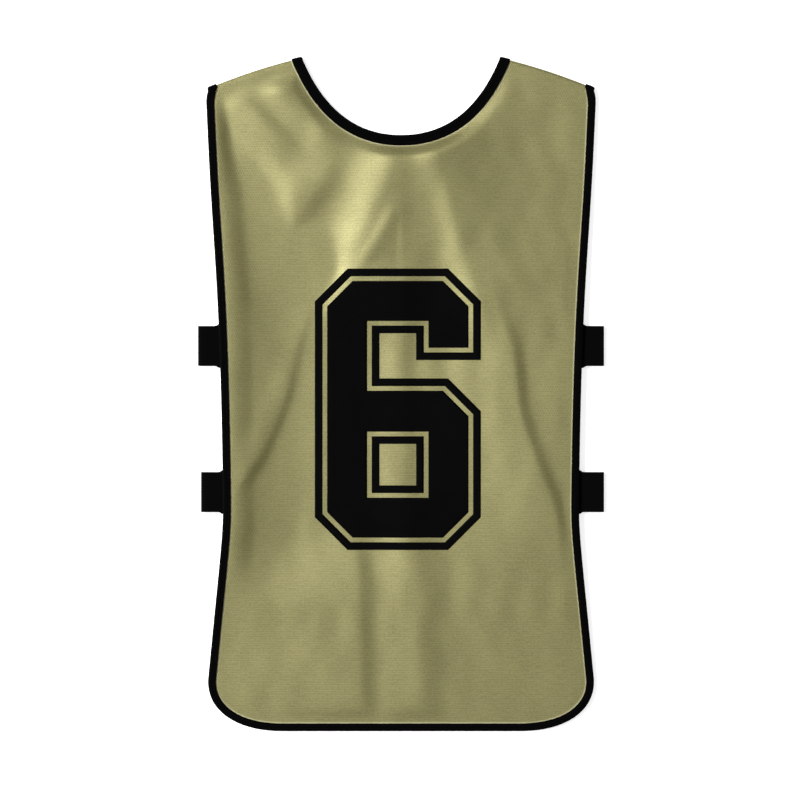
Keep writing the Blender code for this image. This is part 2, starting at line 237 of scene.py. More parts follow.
def stations(points, marks):
    """Edge stations at the marks of a line that has the cloth on its left."""
    total = lengths(points)
    made = []
    for mark in marks:
        place = min(max(int(np.searchsorted(total, mark)) - 1, 0), len(points) - 2)
        part = (mark - total[place]) / (total[place + 1] - total[place])
        way = (points[min(place + 3, len(points) - 1)] - points[max(place - 2, 0)]).normalized()
        edge = points[place].lerp(points[place + 1], part)
        made.append(Station(edge, Vector((-way.y, way.x))))
    return made


def bend_to_seam(run, count):
    """Turn a run's last stations little by little until the last lies along the seam."""
    tip = run[-1]
    way = seam_direction(tip.edge.x)
    way = way / way.dot(tip.across)
    for k in range(count):
        one = run[-1 - k]
        share = float(smoothstep(1 - k / count))
        run[-1 - k] = Station(one.edge, one.across.lerp(way, share))
    return run


def mirrored(one):
    """A station of the right half moved to the left half."""
    flip = Vector((-1.0, 1.0))
    return Station(one.edge * flip, one.across * flip)


def inside(one, distance):
    """The point that far in from a station's edge."""
    return one.edge + one.across * distance


OUTER_LENGTH = lengths(OUTER)[-1]
NECK_LENGTH = lengths(NECK)[-1]
TURNING = zip(lengths(OUTER), OUTER, OUTER[1:])
CORNER_MARK = next(run for run, low, high in TURNING if high.y - low.y > high.x - low.x)
SPLIT_SHARE = 0.52
SPLIT_MARK = NECK_LENGTH * SPLIT_SHARE
print(f"half of the outer edge: {OUTER_LENGTH:.0f} mm, of the neck: {NECK_LENGTH:.0f} mm")

# %% [markdown]
# ## How the front lies
#
# Laid tricot keeps long soft folds from being worn and folded. Each is a row of a table: the
# course it follows down the bib, how far it spreads to its left and right, how high it stands,
# and the share of its length over which it fades at each end. A fold that is steep on one side
# only catches the light on one flank, as satin does, and a hollow has a rise below zero.
# Simulated cloth would settle into folds of its own, so these are listed one by one.

# %% The folds of both panels
Fold = namedtuple("Fold", "course left right rise fade", defaults=[0.17])
FOLDS = {
    "left chest hollow": Fold(
        [(-300, 680), (-228, 627), (-180, 592), (-148, 569), (-128, 540), (-115, 506),
         (-105, 462), (-100, 410)], 58, 96, -4.9
    ),
    "left waist hollow": Fold(
        [(-108, 560), (-98, 480), (-98, 420), (-103, 350), (-108, 290), (-108, 241),
         (-104, 190), (-98, 120)], 74, 130, -4.7
    ),
    "left chest ridge": Fold(
        [(-200, 664), (-142, 600), (-113, 557), (-104, 522), (-106, 462)], 24, 120, 3.5
    ),
    "left shoulder dent": Fold(
        [(-190, 658), (-144, 614), (-122, 594), (-84, 562)], 28, 13, 1.8, 0.45
    ),
    "left shoulder ridge": Fold(
        [(-150, 668), (-98, 618), (-74, 594), (-46, 568)], 22, 22, 1.8, 0.35
    ),
    "left chest wedge": Fold(
        [(-64, 592), (-77, 560), (-94, 530), (-112, 504), (-136, 474)], 34, 18, 1.9, 0.45
    ),
    "neck left ridge": Fold(
        [(18, 700), (10, 640), (0, 588), (-16, 541), (-36, 491), (-56, 436), (-72, 368)],
        36, 78, 5.3, 0.3
    ),
    "neck left crease": Fold([(4, 540), (-12, 511), (-32, 478), (-52, 448)], 9, 12, 0.9, 0.3),
    "neck right ridge": Fold(
        [(20, 660), (37, 583), (49, 541), (60, 491), (74, 451), (88, 410), (96, 370)],
        24, 80, 3.9, 0.28
    ),
    "left waist ridge": Fold(
        [(-84, 460), (-104, 386), (-115, 338), (-134, 290), (-156, 256), (-184, 230),
         (-230, 205), (-290, 180)], 28, 9, 2.2, 0.3
    ),
    "left skirt ridge": Fold([(-74, 380), (-82, 261), (-91, 201), (-112, 100)], 36, 50, 0.8),
    "right waist ridge": Fold(
        [(88, 462), (99, 414), (111, 380), (117, 326), (131, 280), (150, 230), (161, 194),
         (169, 150)], 64, 10, 2.5, 0.33
    ),
    "number ridge": Fold([(0, 480), (1, 331), (2, 260), (8, 170)], 26, 15, 1.25),
    "middle hem ridge": Fold([(6, 250), (13, 171), (15, 91), (22, -20)], 34, 24, 1.8, 0.25),
    "left hem ridge": Fold([(-54, 236), (-44, 161), (-42, 81), (-38, -20)], 80, 14, 1.8, 0.25),
    "left corner ridge": Fold([(-124, 220), (-137, 151), (-150, 71), (-166, -6)], 30, 70, 0.15, 0.3),
}
BACK_FOLDS = {
    "shoulder blade fold": Fold([(-140, 600), (-90, 520), (-70, 430)], 26, 16, 1.1),
    "middle fold": Fold([(20, 560), (36, 420), (30, 300)], 22, 24, 1.0),
    "right side fold": Fold([(150, 420), (120, 330), (90, 250)], 16, 24, 1.1),
    "left side fold": Fold([(-150, 330), (-120, 260), (-60, 220)], 20, 14, 1.0),
    "left hem fold": Fold([(-60, 180), (-70, 110), (-66, 40)], 18, 22, 0.9),
    "right hem fold": Fold([(90, 190), (70, 110), (76, 36)], 22, 16, 1.0),
}
for side, folds in (("front", FOLDS), ("back", BACK_FOLDS)):
    print(len(folds), "folds, the highest", max(one.rise for one in folds.values()), "mm:", side)

# %% [markdown]
# A fold falls off from its course as a bell curve, with its own spread on each side.

# %% The shape of one fold
COURSE_STEPS = 4
FOLD_SHARPNESS = 1.6


def smooth_course(points):
    """Points on a Catmull-Rom curve through the points of a fold's course."""
    ends = [points[0], *points, points[-1]]
    line = []
    for a, b, c, d in zip(ends, ends[1:], ends[2:], ends[3:]):
        a, b, c, d = (np.array(p, dtype=float) for p in (a, b, c, d))
        for t in spaced(0, 1, COURSE_STEPS + 1)[:-1]:
            bend = (2 * a - 5 * b + 4 * c - d) * t**2 + (3 * b - a - 3 * c + d) * t**3
            line.append(b + 0.5 * ((c - a) * t + bend))
    return np.array([*line, np.array(points[-1], dtype=float)])


def near_line(points, line):
    """For each point: its distance from a line, the side it is on, and its place along it."""
    steps = np.diff(line, axis=0)
    runs = np.linalg.norm(steps, axis=1)
    before = np.concatenate([[0.0], np.cumsum(runs)])
    offset = points[:, None, :] - line[None, :-1, :]
    part = np.clip((offset * steps).sum(axis=2) / runs**2, 0.0, 1.0)
    away = offset - part[:, :, None] * steps
    far = np.linalg.norm(away, axis=2)
    best = far.argmin(axis=1)
    rows = np.arange(len(points))
    turn = steps[best, 0] * away[rows, best, 1] - steps[best, 1] * away[rows, best, 0]
    along = (before[best] + part[rows, best] * runs[best]) / before[-1]
    return far[rows, best], np.sign(turn), along


def fold_rise(fold, points):
    """One fold's rise at each point. A course runs down the bib, so its left is on our right."""
    away, turn, along = near_line(points, smooth_course(fold.course))
    spread = np.where(turn > 0, fold.right, fold.left)
    fade = smoothstep(np.minimum(along, 1 - along) / fold.fade)
    return fold.rise * fade * np.exp(-FOLD_SHARPNESS * (away / spread) ** 2)


trial = np.array([(60.0, 491.0)])
print("right of the neck a fold rises", fold_rise(FOLDS["neck right ridge"], trial).round(2), "mm")

# %% [markdown]
# ## The cloth's grid
#
# A panel is made from one flat grid whose points move to their places in the cut. Its border
# follows the hem, the side, the shoulder and the neck, and the inside is blended between them,
# so the rows of faces run as a knit's rows do. It is fine enough for folds of a few millimetres.

# %% Rows and columns
NECK_COLUMNS = 24
SIDE_COLUMNS = 36
COLUMNS = NECK_COLUMNS + SIDE_COLUMNS
BODY_ROWS = 152
SHOULDER_ROWS = 20
FLAT_ROWS = BODY_ROWS + SHOULDER_ROWS
ROLL_ROWS = 6
TIP_STATIONS = 5
EASE_TURNS = 120
CORNER_IN = 8.5

HEM = stations(OUTER, spaced(0, CORNER_MARK, COLUMNS + 1))
SIDE = bend_to_seam(stations(OUTER, spaced(CORNER_MARK, OUTER_LENGTH, FLAT_ROWS + 1)), TIP_STATIONS)
SCOOP = stations(NECK, spaced(NECK_LENGTH, SPLIT_MARK, NECK_COLUMNS + 1))
COLLAR = bend_to_seam(stations(NECK, spaced(SPLIT_MARK, 0, SHOULDER_ROWS + 1)), TIP_STATIONS)
print(2 * COLUMNS, "columns and", FLAT_ROWS + ROLL_ROWS, "rows of faces in the whole grid")

# %% [markdown]
# The cut is filled in two patches, the body and the shoulder. A patch blends its four edge lines,
# as a stretched net would, and then the inner points are eased, so that no kink is left.

# %% The flat cut's points
def grid(columns, rows, stored):
    """A flat grid with its layers, and each of its points with its column and row.

    The layers come first, because a new layer would make the points' references stale.
    """
    mesh = bmesh.new()
    mesh.loops.layers.uv.new("cut")
    mesh.verts.layers.float.new(stored)
    bmesh.ops.create_grid(mesh, x_segments=columns, y_segments=rows, size=1.0)
    where = {}
    for point in mesh.verts:
        column, row = (point.co.x + 1) / 2 * columns, (point.co.y + 1) / 2 * rows
        where[point] = (round(column), round(row))
    return mesh, where


def unfold(mesh, where, along, across):
    """Keep a strip's own flat coordinates in its map."""
    knit = mesh.loops.layers.uv["cut"]
    for face in mesh.faces:
        for loop in face.loops:
            i, j = where[loop.vert]
            loop[knit].uv = (along[i] / GARMENT_TOP, across[j] / GARMENT_TOP)


def blend(first, second, steps):
    """Points evenly between two points, both included."""
    return [first.lerp(second, k / steps) for k in range(steps + 1)]


def patch(bottom, top, left, right):
    """Points inside four edge lines, by column and row: each follows the edges it is near."""
    across, up = len(bottom) - 1, len(left) - 1
    points = {}
    for i in range(across + 1):
        for j in range(up + 1):
            u, v = i / across, j / up
            rails = (1 - v) * bottom[i] + v * top[i] + (1 - u) * left[j] + u * right[j]
            corners = (1 - u) * ((1 - v) * bottom[0] + v * top[0])
            corners += u * ((1 - v) * bottom[-1] + v * top[-1])
            points[i, j] = rails - corners
    return points


def cut_points():
    """The flat cut's points on its right half, by column and row, up to the shoulder fold."""
    neck_in = NECK_TAPE_WIDTH + 1
    side_in = EDGE_TAPE_WIDTH + 1
    last = BODY_ROWS - 1
    gusset = SIDE_COLUMNS - 2
    points = {}

    # The body, from the tape along the hem up to the tape along the scoop
    hem_line = [inside(one, side_in) for one in HEM[:-2]] + [inside(HEM[-1], CORNER_IN)]
    side_line = [hem_line[-1]] + [inside(one, side_in) for one in SIDE[2:BODY_ROWS]]
    scoop_line = [inside(one, neck_in) for one in SCOOP[:-1]]
    scoop_line.append(inside(SCOOP[-1], neck_in).lerp(scoop_line[-1], 0.5))
    scoop_line += blend(inside(SCOOP[-1], neck_in * 1.2), side_line[-1], gusset)
    middle_line = blend(hem_line[0], scoop_line[0], last - 1)
    for (i, j), place in patch(hem_line, scoop_line, middle_line, side_line).items():
        points[i, j + 1] = place

    # The shoulder, from the level of the scoop's side up to the fold
    collar_line = [inside(COLLAR[0], neck_in).lerp(inside(COLLAR[1], neck_in), 0.5)]
    collar_line += [inside(one, neck_in) for one in COLLAR[1:]]
    arm_line = [inside(one, side_in) for one in SIDE[BODY_ROWS:]]
    fold_line = blend(collar_line[-1], arm_line[-1], gusset)
    fold_line = [Vector((place.x, seam_height(place.x))) for place in fold_line]
    level_line = blend(collar_line[0], arm_line[0], gusset)
    for (i, j), place in patch(level_line, fold_line, collar_line, arm_line).items():
        points[i + NECK_COLUMNS + 1, j + BODY_ROWS] = place

    # The cut's own edges, inside the tapes
    for i, one in enumerate(HEM):
        points[i, 0] = inside(one, PANEL_EDGE)
    for j, one in enumerate(SIDE):
        points[COLUMNS, j] = inside(one, PANEL_EDGE)
    for i, one in enumerate(SCOOP):
        points[i, BODY_ROWS] = inside(one, PANEL_EDGE)
    for j, one in enumerate(COLLAR):
        points[NECK_COLUMNS, BODY_ROWS + j] = inside(one, PANEL_EDGE)
    return points


def flat_panel():
    """A panel still flat, in millimetres, with how far each point turns over the shoulder."""
    mesh, where = grid(2 * COLUMNS, FLAT_ROWS + ROLL_ROWS, "from_tape")
    half = cut_points()
    turns, inner, neck = {}, [], []
    for point, (i, j) in where.items():
        column, side = abs(i - COLUMNS), 1 if i >= COLUMNS else -1
        if column < NECK_COLUMNS and j > BODY_ROWS:
            neck.append(point)
            continue
        turns[point] = max(j - FLAT_ROWS, 0) / ROLL_ROWS * SEAM_ANGLE
        beyond = Vector((0, ROLL * turns[point]))
        point.co = (half[column, min(j, FLAT_ROWS)] * Vector((side, 1)) + beyond).to_3d()
        beside_neck = column <= NECK_COLUMNS + 1 and j >= BODY_ROWS - 1
        if column < COLUMNS - 1 and 1 < j < FLAT_ROWS and not beside_neck:
            inner.append(point)
    bmesh.ops.delete(mesh, geom=neck, context="VERTS")
    for _ in range(EASE_TURNS):
        bmesh.ops.smooth_vert(mesh, verts=inner, factor=0.5, use_axis_x=True, use_axis_y=True)
    mesh.verts.index_update()
    return mesh, [turns[point] for point in mesh.verts]


FLAT_PANEL, TURNS = flat_panel()
print(len(FLAT_PANEL.verts), "points in the flat cut")

# %% [markdown]
# The front cloth lies on the back one with air between them, and the tape holds both up at the
# outline, whose nearest point a search tree finds quickly. A hollow presses the front down until
# it nearly touches. Small random waves, the same on each run, keep both from looking ironed.

# %% Heights of the two panels
def near_finder(line):
    """A search tree for the nearest point of a line."""
    tree = KDTree(len(line))
    for k, spot in enumerate(line):
        tree.insert(spot.to_3d(), k)
    tree.balance()
    return tree


OUTLINE = near_finder(OUTER + NECK + SEAM)
TAPED = near_finder(OUTER + NECK)


def edge_distances(points, edges=OUTLINE):
    """How far each point is from the garment's outline, or from other edges."""
    return np.array([edges.find((abs(x), y, 0.0))[2] for x, y in points])


CLOTH_WALL = 0.6
FRONT_PUFF = 4.0
LOWEST_DRAPE = 0.4
BACK_MOST = 1.1
SLACK_SIDE = 110.0
SLACK_SIDE_FADE = 50.0
SLACK_TOP = 520.0
SLACK_TOP_FADE = 80.0
RIPPLE_LENGTHS = (24.0, 68.0)
RIPPLE_RISE = 0.08
RIPPLE_COUNT = 14
CHANCE = random.Random(31)
Ripple = namedtuple("Ripple", "angle length phase")
RIPPLES = [
    Ripple(CHANCE.uniform(-0.5, 0.5), CHANCE.uniform(*RIPPLE_LENGTHS), CHANCE.uniform(0, tau))
    for _ in range(RIPPLE_COUNT)
]


def lift(height):
    """How much the elastics raise the front edge at a height, or at many."""
    return LIFT * (1 - smoothstep((abs(height - LIFT_MIDDLE) - LIFT_PLATEAU) / LIFT_RAMP))


def ripples(points):
    """Small unevenness of laid cloth: long waves that cross at odd angles."""
    total = np.zeros(len(points))
    for one in RIPPLES:
        way = points[:, 0] * cos(one.angle) + points[:, 1] * sin(one.angle)
        total += np.sin(tau * way / one.length + one.phase)
    return RIPPLE_RISE * total / sqrt(RIPPLE_COUNT / 2)


def front_ramp(points):
    """How far the tape's height reaches into the front cloth: further down the slack left side."""
    x, height = points.T
    left = smoothstep((-x - SLACK_SIDE) / SLACK_SIDE_FADE)
    slack = left * (1 - smoothstep((height - SLACK_TOP) / SLACK_TOP_FADE))
    return FRONT_RAMP + (SLACK_RAMP - FRONT_RAMP) * slack


def front_heights(points):
    """The middle of the front cloth: draped over the back cloth, and up in its tape."""
    away = edge_distances(points) - PANEL_FLAT
    near = 1 - smoothstep(away / front_ramp(points))
    level = FRONT_PUFF + ripples(points) + sum(fold_rise(one, points) for one in FOLDS.values())
    drape = LOWEST_DRAPE + np.log1p(np.exp(2 * (level - LOWEST_DRAPE))) / 2
    under = WALL / 2 + (TAPE_HALF - WALL / 2) * near
    tape_step = 2 * ROLL - WALL - GAP
    spread = np.where(points[:, 0] < 0, LIFT_SPREAD_LEFT, LIFT_SPREAD_RIGHT)
    lifted = lift(points[:, 1]) * (1 - smoothstep(away / spread))
    return under + WALL + GAP + near * tape_step + (1 - near) * drape + lifted


def back_heights(points):
    """The middle of the back cloth: on the floor in low folds, and up in its tape."""
    held = 1 - smoothstep((edge_distances(points) - PANEL_FLAT) / BACK_RAMP)
    folds = sum(fold_rise(one, points) for one in BACK_FOLDS.values())
    low = CLOTH_WALL / 2 + np.clip(folds + ripples(points), 0.0, BACK_MOST)
    return low + (TAPE_HALF - low) * held


print("the cloths' middles are at", front_heights(trial).round(1), back_heights(trial).round(1), "mm")

# %% [markdown]
# The helpers below turn a mesh in the making into a finished piece. Every piece keeps its
# object at the origin and has its place in its mesh, rides on the imported body, and hides the
# imported solid it stands for, if any.

# %% Finishing a piece
def placed(flat, height):
    """A point of the model, in metres, from a flat point and a height over the floor."""
    return Vector((flat[0], flat[1] - GARMENT_TOP / 2, float(height))) * MM


def rolled(flat, side, angle, beyond):
    """A point over the shoulder fold: turned by an angle about the seam's axis."""
    way = seam_direction(abs(flat.x))
    outwards = Vector((-way.y * side, way.x))
    reach = ROLL + beyond
    return flat + outwards * reach * sin(angle), MIDDLE + reach * cos(angle)


def added(name, data):
    """A new object in the scene."""
    made = bpy.data.objects.new(name, data)
    bpy.context.scene.collection.objects.link(made)
    return made


def finished(mesh, name, finish, wall=0.0, stands_for=()):
    """A finished piece from a bmesh, with a wall from Solidify where it is cloth."""
    data = bpy.data.meshes.new(name)
    mesh.to_mesh(data)
    mesh.free()
    data.shade_smooth()
    data.materials.append(finish)
    piece = added(name, data)
    if wall:
        thick = piece.modifiers.new("Wall", "SOLIDIFY")
        thick.thickness = wall * MM
        thick.offset = 0.0
        thick.use_even_offset = True
        thick.use_quality_normals = True
    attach(piece, BODY)
    if stands_for:
        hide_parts(*stands_for)
    print(f"{name}: {len(data.polygons)} faces before its wall")
    return piece


print("the scoop's floor is at y =", round(placed((0, NECK_FLOOR), 0).y, 4), "m")

# %% [markdown]
# ## Materials as sums
#
# A material is a small formula over the surface. Wiring its nodes by hand hides that, so one
# class wraps a node's output and lets Python's own operators add the Math nodes. The second
# class is the material in the making.

# %% Shader maths
class Signal:
    """One output of a material's nodes, to write shader maths with."""

    def __init__(self, finish, socket):
        self.finish = finish
        self.socket = socket

    def maths(self, operation, *values):
        return self.finish.node("ShaderNodeMath", {"operation": operation}, dict(enumerate(values)))

    def __add__(self, other):
        return self.maths("ADD", self, other)

    def __sub__(self, other):
        return self.maths("SUBTRACT", self, other)

    def __rsub__(self, other):
        return self.maths("SUBTRACT", other, self)

    def __mul__(self, other):
        return self.maths("MULTIPLY", self, other)

    def __truediv__(self, other):
        return self.maths("DIVIDE", self, other)

    __radd__ = __add__

    def wave(self):
        """A sine over the signal, from 0 to 1."""
        return self.maths("SINE", self) * 0.5 + 0.5

    def within(self, low, high):
        """A soft step from 0 at low to 1 at high."""
        values = {"Value": self, "From Min": low, "From Max": high}
        return self.finish.node("ShaderNodeMapRange", {"interpolation_type": "SMOOTHSTEP"}, values)


class Finish:
    """A material in the making."""

    def __init__(self, name, **constants):
        self.material = bpy.data.materials.new(name)
        self.material.use_nodes = True
        self.tree = self.material.node_tree
        self.shader = self.tree.nodes["Principled BSDF"]
        for socket, value in constants.items():
            self.shader.inputs[socket.replace("_", " ")].default_value = value

    def node(self, kind, settings=None, values=None, output=0):
        """A new node's output, after its settings are set and its sockets filled or linked."""
        made = self.tree.nodes.new(kind)
        for name, value in (settings or {}).items():
            setattr(made, name, value)
        for name, value in (values or {}).items():
            if isinstance(value, Signal):
                self.tree.links.new(value.socket, made.inputs[name])
            else:
                made.inputs[name].default_value = value
        return Signal(self, made.outputs[output])

    def place(self):
        """A point's place on the object, in metres."""
        return self.node("ShaderNodeTexCoord", output="Object")

    def cut(self):
        """A point's place in the flat cut, from the piece's own map, in metres."""
        where = self.node("ShaderNodeUVMap", {"uv_map": "cut"})
        values = {0: where, "Scale": GARMENT_TOP * MM}
        return self.node("ShaderNodeVectorMath", {"operation": "SCALE"}, values)

    def split(self, vector):
        """The x and y of a vector, in millimetres."""
        parts = self.node("ShaderNodeSeparateXYZ", values={0: vector})
        up = Signal(self, parts.socket.node.outputs[1])
        return parts / MM, up / MM

    def stored(self, name):
        """A number that the piece's mesh holds at its points."""
        return self.node("ShaderNodeAttribute", {"attribute_name": name}, output="Fac")

    def noise(self, place, size, detail=2.0, roughness=0.5):
        """Cloudy noise from 0 to 1, with features of about the given size in millimetres."""
        values = {"Vector": place, "Scale": 1 / (size * MM), "Detail": detail, "Roughness": roughness}
        return self.node("ShaderNodeTexNoise", values=values)

    def mixed(self, share, first, second):
        """A colour between two colours."""
        return self.node("ShaderNodeMix", {"data_type": "RGBA"}, {0: share, 6: first, 7: second}, 2)

    def bump(self, height, depth):
        """Feed the small relief, where a height of 1 stands depth millimetres up."""
        values = {"Strength": 1.0, "Distance": depth * MM, "Height": height}
        self.feed("Normal", self.node("ShaderNodeBump", values=values))

    def feed(self, socket, signal):
        """Link a signal to one of the shader's sockets."""
        self.tree.links.new(signal.socket, self.shader.inputs[socket])

# %% [markdown]
# ## The tricot
#
# Training bibs are cut from tricot mesh, a shiny warp knit. It has rows of tiny eyelets, each
# row half a step beside the last, with smooth bright yarn between them. The eyelets are a
# pattern on the flat cut, so they follow the cloth over its folds. Modelled holes would
# say nothing more at this size, so they are colour, roughness and relief.

# %% Tricot
COURSE_PITCH = 2.4
WALE_PITCH = 1.7
YARN_PITCH = 0.42
EYELET = (0.16, 0.34)
TRICOT = (0.190, 0.175, 0.062, 1.0)
TRICOT_SHADE = (0.108, 0.097, 0.029, 1.0)
TRICOT_BRIGHT = (0.255, 0.238, 0.092, 1.0)
# The light line on the cloth beside the tapes: a painted highlight.
TRICOT_RIM_HIGHLIGHT = (0.50, 0.47, 0.27, 1.0)


def tricot(name):
    """Shiny eyelet knit."""
    look = Finish(name, Metallic=0.64, IOR=1.85)
    cut = look.cut()
    x, y = look.split(cut)
    course = y / COURSE_PITCH
    shift = look.node("ShaderNodeMath", {"operation": "FLOOR"}, {0: course}) * 0.5
    wale = x / WALE_PITCH + shift
    across = wale.maths("FRACT", wale) - 0.5
    along = course.maths("FRACT", course) - 0.5
    squares = across * across * 0.8 + along * along
    away = squares.maths("SQRT", squares)
    yarn = away.within(*EYELET)
    thread = (x * (tau / YARN_PITCH)).wave()
    scaled = {0: cut, 1: (0.25, 1.6, 1)}
    longer = look.node("ShaderNodeVectorMath", {"operation": "MULTIPLY"}, scaled)
    streaks = look.noise(longer, 3.2, 3.0, 0.65)
    cloud = look.noise(cut, 46.0, 2.0)
    grain = look.noise(cut, 2.2, 2.0, 0.6)
    light = yarn * 0.36 + streaks * 0.75 + cloud * 0.35 + grain * 1.1 - 0.78
    colour = look.mixed(light.within(0.1, 0.95), TRICOT_SHADE, TRICOT_BRIGHT)
    colour = look.mixed(0.45, colour, TRICOT)
    # The cloth's ridge beside the tape is painted lighter: a painted highlight.
    rim_highlight = 1 - look.stored("from_tape").within(0.5, 1.9)
    look.feed("Base Color", look.mixed(rim_highlight * 0.8, colour, TRICOT_RIM_HIGHLIGHT))
    look.feed("Roughness", 0.44 - yarn * 0.06 + cloud * 0.1)
    look.bump(yarn * 0.7 + thread * 0.12 + streaks * 0.3 + grain * 0.2, 0.16)
    return look.material


CLOTH_FINISH = tricot("tricot_mesh")
print("the knit has", round(GARMENT_TOP / COURSE_PITCH), "rows of eyelets")

# %% [markdown]
# ## The two panels
#
# The flat cut's points go up to their heights, and the last rows roll over the shoulder to the
# seam. The cut's own coordinates are kept as a map for the knit, and each point stores how far it
# is from the tape, where a thin painted highlight runs along the cloth beside the tape.

# %% Front and back cloth
NECK_REACH = 20.0
NECK_DROP = 40.0


def panel(name, heights, facing, stands_for):
    """One panel of the bib; facing is +1 for the front one and -1 for the back one."""
    mesh = FLAT_PANEL.copy()
    mesh.verts.ensure_lookup_table()
    flats = [point.co.xy for point in mesh.verts]
    places = np.array([tuple(flat) for flat in flats])
    knit = mesh.loops.layers.uv["cut"]
    tape_gap = mesh.verts.layers.float["from_tape"]
    for face in mesh.faces:
        for loop in face.loops:
            loop[knit].uv = flats[loop.vert.index] / GARMENT_TOP
    gaps = edge_distances(places, TAPED)
    for point, flat, turn, gap, height in zip(mesh.verts, flats, TURNS, gaps, heights(places)):
        by_neck = abs(flat.x) < NECK_HALF + NECK_REACH and flat.y > NECK_FLOOR - NECK_DROP
        point[tape_gap] = gap - (NECK_TAPE_WIDTH if by_neck else EDGE_TAPE_WIDTH)
        point.co = placed(flat, height)
        if turn:
            fold = flat - Vector((0, ROLL * turn))
            place, height = rolled(fold, copysign(1, fold.x), turn, 0.0)
            point.co = placed(place, MIDDLE + facing * (height - MIDDLE))
    area = sum(face.calc_area() for face in FLAT_PANEL.faces) * MM**2
    piece = finished(mesh, name, CLOTH_FINISH, CLOTH_WALL, [stands_for])
    size = np.ptp(places, axis=0) * MM
    print(f"{name}: cut {size[0]:.3f} x {size[1]:.3f} m, {area:.4f} square metres")
    return piece, tuple(size), area


back_cloth, back_size, back_area = panel("back_cloth", back_heights, -1, "back_panel")
front_cloth, front_size, front_area = panel("front_cloth", front_heights, 1, "front_panel")

# %% [markdown]
# ## Black trims
#
# The tape is a soft knit, matt and nearly black, with fine wales along it and a little grey on
# its worn fold. The elastics are woven: hard ribs along them and finer wefts across.

# %% Finishes of the trims
ELASTIC_RIB = 1.6
INK = (0.0009, 0.0009, 0.0010, 1.0)
WORN_INK = (0.0036, 0.0035, 0.0034, 1.0)


def knit_tape(name):
    """Black binding knit."""
    look = Finish(name, Specular_IOR_Level=0.02)
    x, y = look.split(look.cut())
    wales = (y * (tau / 0.8)).wave()
    loops = (x * (tau / 0.62) + wales * 1.6).wave()
    fluff = look.noise(look.place(), 1.3, 3.0, 0.6)
    patches = look.noise(look.place(), 24.0)
    worn = look.stored("wear") * (fluff * 0.7 + 0.5)
    tone = worn * 0.75 + patches * 0.22 + loops * 0.12
    look.feed("Base Color", look.mixed(tone.within(0.12, 1.0), INK, WORN_INK))
    look.feed("Roughness", 0.86 - loops * 0.1 + fluff * 0.08)
    look.bump(wales * 0.5 + loops * 0.4 + fluff * 0.3, 0.12)
    return look.material


def woven_elastic(name):
    """Black ribbed elastic."""
    look = Finish(name, Specular_IOR_Level=0.02)
    x, y = look.split(look.cut())
    wefts = (x * (tau / 0.9)).wave()
    ribs = (y * (tau / ELASTIC_RIB)).wave()
    fluff = look.noise(look.place(), 1.1, 2.0, 0.6)
    tone = ribs * wefts * 0.5 + fluff * 0.3 + look.stored("wear") * fluff * 0.7
    look.feed("Base Color", look.mixed(tone.within(0.1, 0.9), INK, WORN_INK))
    look.feed("Roughness", 0.9 - ribs * 0.16 + fluff * 0.06)
    look.bump(wefts * (ribs * 0.5 + 0.5) + fluff * 0.3, 0.1)
    return look.material


def thread(name):
    """Black sewing thread, a little shinier than the tape."""
    look = Finish(name, Specular_IOR_Level=0.06)
    x, y = look.split(look.place())
    twist = ((x + y) * (tau / 0.35)).wave()
    look.feed("Base Color", look.mixed(twist * 0.7, INK, WORN_INK))
    look.feed("Roughness", 0.62 - twist * 0.15)
    look.bump(twist, 0.04)
    return look.material


TAPE_FINISH = knit_tape("black_binding_knit")
ELASTIC_FINISH = woven_elastic("black_ribbed_elastic")
THREAD_FINISH = thread("black_thread")
print("trims:", TAPE_FINISH.name, ELASTIC_FINISH.name, THREAD_FINISH.name)

# %% [markdown]
# ## The tapes
#
# Each tape is one ring: it runs along the front edge, over a shoulder, along the back edge and
# over the other shoulder. A bent strip like this could be lofted along a curve, but a grid does
# it directly, with one row for each step of the folded profile and one column for each station
# of the ring. The profile dips under the stitch line and hugs the cloth at its inner edge.

# %% Folded tapes
TAPE_WALL = 0.9
TAPE_STEP = 2.5
TURN_STEPS = 10
TAPE_TIPS = 6
STITCH_IN = 2.1
PUCKER_LENGTH = 8.5
PUCKER_RISE = 0.09
Turn = namedtuple("Turn", "station angle along")


def tape_profile(width):
    """The folded tape's section, from its inner edge round the fold and back: across and up."""
    top = [(width, 0.92), (width - 0.5, 1.15), (width - 1.3, 1.28), (width - STITCH_IN, 1.14)]
    top += [(width - 2.9, 1.28), (width - 4.4, 1.33), (3.2, 1.32), (1.9, 1.24), (1.05, 0.98)]
    top += [(0.62, 0.55), (0.5, 0.0)]
    return top + [(across, -up) for across, up in top[-2::-1]]


def tape_run(line, backwards=False):
    """Even stations along an edge line, from the left shoulder tip to the right one."""
    total = lengths(line)[-1]
    marks = spaced(0, total, round(total / TAPE_STEP) + 1)
    half = stations(line, marks[::-1] if backwards else marks)
    half = bend_to_seam(half, TAPE_TIPS)
    return [mirrored(one) for one in half[::-1]] + half[1:]


def tape_ring(run):
    """The whole ring of a tape: each station with its turn over the shoulder."""
    turns = [pi * k / TURN_STEPS for k in range(1, TURN_STEPS)]
    ring = [(one, 0.0) for one in run] + [(run[-1], angle) for angle in turns]
    ring += [(one, pi) for one in run[::-1]] + [(run[0], angle) for angle in turns[::-1]]
    along, made = 0.0, []
    for (one, angle), (after, _) in zip(ring, ring[1:] + ring[:1]):
        made.append(Turn(one, angle, along))
        along += max((after.edge - one.edge).length, 0.0) or ROLL * pi / TURN_STEPS
    return made, along


def pucker(along):
    """The gathered edge of a stitched tape: a small uneven wave."""
    wave = sin(tau * along / PUCKER_LENGTH)
    return PUCKER_RISE * (wave + 0.6 * sin(tau * along / (PUCKER_LENGTH * 2.7)))


